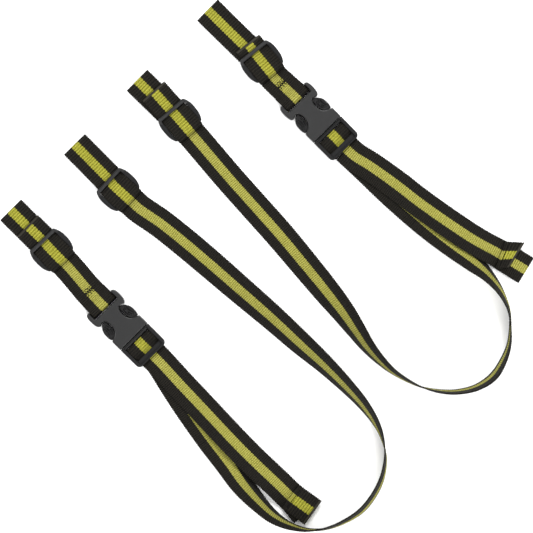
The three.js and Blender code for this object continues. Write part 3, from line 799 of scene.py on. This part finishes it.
def short_webbing(strap):
    """From the slider to the female half, round its crossbar and sewn back on itself."""
    buckle = female_end(strap)
    begin = in_slider(strap, "short", STRAND_END)
    turn = joint_heading(f"{strap}_short_slider_slide")
    d0 = begin[0] - buckle[0]
    plan = Plan(begin, turn, d0, buckle + np.array([-8.0, 0.0]), 0.0, -8.0)
    path = [
        (d0, LAYER_1), (-22, LAYER_1), (-19.6, 0.8), (-16.4, LAYER_2 - 0.1), (-9, LAYER_2), (-5.4, 2.8),
        (-2.6, 4.7), (-0.6, 5.9), (1.6, 6.2), (4.5, 6.1), (6.5, 5.3), (7.1, 3.5), (6.5, 1.7), (4.8, 0.8),
        (2, LAYER_1), (-SEWN_LENGTH, LAYER_1),
    ]
    sections = woven_sections(plan, path, snug=(-8, 9))
    piece = ribbon(f"{strap}_short_run", sections, cut_end=True)
    finish_webbing([f"{strap}_short_web"])
    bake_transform(piece)
    tack = bar_and_rays(TACK_PLACE - SEWN_LENGTH, LAYER_2)
    sew(f"{strap}_tack_stitches", plan, tack, f"{strap}_bar_tack", f"{strap}_short_end")


def buckle_webbing(strap):
    """The long webbing woven round the male half's bars."""
    path = [
        (MALE_END, LAYER_1), (57, LAYER_1), (49, LAYER_1), (46.9, 0.95), (45.7, 2.2), (45.5, 4.2),
        (46.3, 5.9), (48.4, 6.7), (51, 6.75), (53.2, 6.3), (54.8, 5), (56, 3.4), (57.4, 2.4),
        (59.6, LAYER_2), (MALE_END, LAYER_2),
    ]
    sections = woven_sections(Plan(female_end(strap), 0.0, 0.0), path, snug=(44, 62))
    piece = ribbon(f"{strap}_buckle_weave", sections, back_from=0)
    finish_webbing([f"{strap}_long_web_buckle_weave"])
    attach(piece, f"{strap}_male_half")


def joined_to_buckle(strap, stations):
    """The stations with the first one moved onto the end of the webbing in the buckle."""
    end = male_end(strap) + CENTRE
    return [(end[0], end[1], *stations[0][2:])] + stations[1:]


def joined_to_slider(strap, stations):
    """The stations with the last one moved onto the end of the strand in the long end's slider."""
    end = in_slider(strap, "long", STRAND_END) + CENTRE
    return stations[:-1] + [(end[0], end[1], 0)]


def long_webbing(strap):
    """From the buckle round the wide turn and back to the long end's slider."""
    route = joined_to_slider(strap, joined_to_buckle(strap, STRAPS[strap]["route"]))
    sections = laid_sections(route)
    parting = int(RUN_LENGTH / ROW) // 2 * 2  # an even row, so that the ribs go on across it
    run_sections = sections[: parting + 1]
    run = ribbon(f"{strap}_long_run", run_sections)
    finish_webbing([f"{strap}_long_web_run"])
    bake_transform(run)
    rest_sections = sections[parting:]
    rest = ribbon(f"{strap}_long_turn", rest_sections, RUN_LENGTH)
    finish_webbing([f"{strap}_long_web_turn", f"{strap}_long_web_return"])
    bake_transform(rest)


def turned(vector, degrees):
    """A vector turned about +Z."""
    a = math.radians(degrees)
    x, y, z = vector
    return np.array([x * math.cos(a) - y * math.sin(a), x * math.sin(a) + y * math.cos(a), z])


def hem_sections(end, hem):
    """The tail beyond its end: the layer folded back on it and skewed, then the flap out again."""
    forward = np.cross(end.across / HALF_WIDTH, end.face)
    plan = Plan(end.middle[:2], math.degrees(math.atan2(forward[1], forward[0])), 0.0)
    length = hem["length"]
    fold = [
        (0, LAYER_1), (0.6, 0.85), (0.9, 1.45), (0.6, 2.05), (0, LAYER_2), (-length, LAYER_2),
        (-length - 0.6, 2.45), (-length - 0.9, 3.05), (-length - 0.6, 3.65), (-length, LAYER_3),
    ]
    folded = woven_sections(plan, fold)
    for section in folded:
        back = np.dot(end.middle - section.middle, forward) / length
        section.across = turned(section.across, hem["skew"] * smoothstep(back))
    out = folded[-1]
    shift = np.array([*hem["flap_shift"], 0.0])
    steps = round(np.linalg.norm(shift) / ROW)
    flap = []
    for i in range(1, steps + 1):
        across = turned(out.across, hem["flap_skew"] * i / steps)
        flap.append(Section(out.middle + shift * i / steps, across, out.face))
    return folded, flap


def tail_webbing(strap):
    """The free tail, folded over twice at its end as a stopper and sewn across."""
    sections = laid_sections(joined_to_buckle(strap, STRAPS[strap]["tail"]))
    folded, flap = hem_sections(sections[-1], STRAPS[strap]["hem"])
    sections = sections[:-1] + folded + flap
    tail = ribbon(f"{strap}_tail", sections, cut_end=True, back_from=len(sections) - len(flap))
    nodes = [f"{strap}_long_web_tail", f"{strap}_tail_hem", f"{strap}_tail_flap"]
    finish_webbing(nodes)
    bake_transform(tail)
    sewn = flap[1]
    along_flap = math.degrees(math.atan2(sewn.across[1], sewn.across[0])) - 90
    seam = [((0, -9.5, LAYER_3), (0, 9.5, LAYER_3))]
    plan = Plan(sewn.middle[:2], along_flap, 0.0)
    sew(f"{strap}_seam_stitches", plan, seam, f"{strap}_tail_seam", f"{strap}_tail_end")


# ---- moulded plastic ----

VOXEL = 0.34
SOFTENING_ROUNDS = 5
FACES_KEPT = 0.4  # the share of faces left after thinning
SHINY_BAR_END = -7.5  # from a slider's middle to the inner side of its end bar towards the loop


def darken_rails(piece, node):
    """Gives all of a slider but its end bar towards the loop the duller plastic, which stands in for shade on
    its rails; only that end bar keeps the glossier plastic that shines.
    """
    dull_shaded_slot = len(piece.data.materials)
    piece.data.materials.append(DULL_SHADED_PLASTIC)
    heading = heading_vector(joint_heading(f"{node}_slide"))
    centre = middle_of(node)
    for polygon in piece.data.polygons:
        ahead = np.dot(np.array(polygon.center[:2]) / MM - centre, heading)
        if ahead > SHINY_BAR_END:
            polygon.material_index = dull_shaded_slot


def moulded(node, body, material):
    """The node's shape with the rounded edges and soft corners of a moulding."""
    piece = bpy.data.objects.new(f"{node}_moulding", frame["nodes"][node].data.copy())
    bpy.context.collection.objects.link(piece)
    remesh = piece.modifiers.new("remesh", "REMESH")
    remesh.mode = "VOXEL"
    remesh.voxel_size = VOXEL * MM
    soften = piece.modifiers.new("soften", "SMOOTH")
    soften.factor = 0.5
    soften.iterations = SOFTENING_ROUNDS
    thin = piece.modifiers.new("thin", "DECIMATE")
    thin.ratio = FACES_KEPT
    bpy.context.view_layer.update()
    shaped = piece.evaluated_get(bpy.context.evaluated_depsgraph_get())
    piece.data = bpy.data.meshes.new_from_object(shaped)
    piece.modifiers.clear()
    piece.data.materials.clear()
    piece.data.materials.append(material)
    piece.data.polygons.foreach_set("use_smooth", [True] * len(piece.data.polygons))
    if node.endswith("slider"):
        darken_rails(piece, node)
    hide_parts(node)
    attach(piece, body)


# ---- the whole scene ----

set_view()
add_floor()
set_light()
for strap in STRAPS:
    long_webbing(strap)
    tail_webbing(strap)
    buckle_webbing(strap)
    short_webbing(strap)
    slider_webbing(strap, "short")
    slider_webbing(strap, "long")

for strap in STRAPS:
    moulded(f"{strap}_buckle_female", f"{strap}_short_end", PLASTIC)
    moulded(f"{strap}_buckle_male", f"{strap}_male_half", DULL_SHADED_PLASTIC)
    moulded(f"{strap}_prong_left", f"{strap}_left_prong", DULL_SHADED_PLASTIC)
    moulded(f"{strap}_prong_right", f"{strap}_right_prong", DULL_SHADED_PLASTIC)
    moulded(f"{strap}_short_slider", f"{strap}_short_end_slider", PLASTIC)
    moulded(f"{strap}_long_slider", f"{strap}_long_end_slider", PLASTIC)
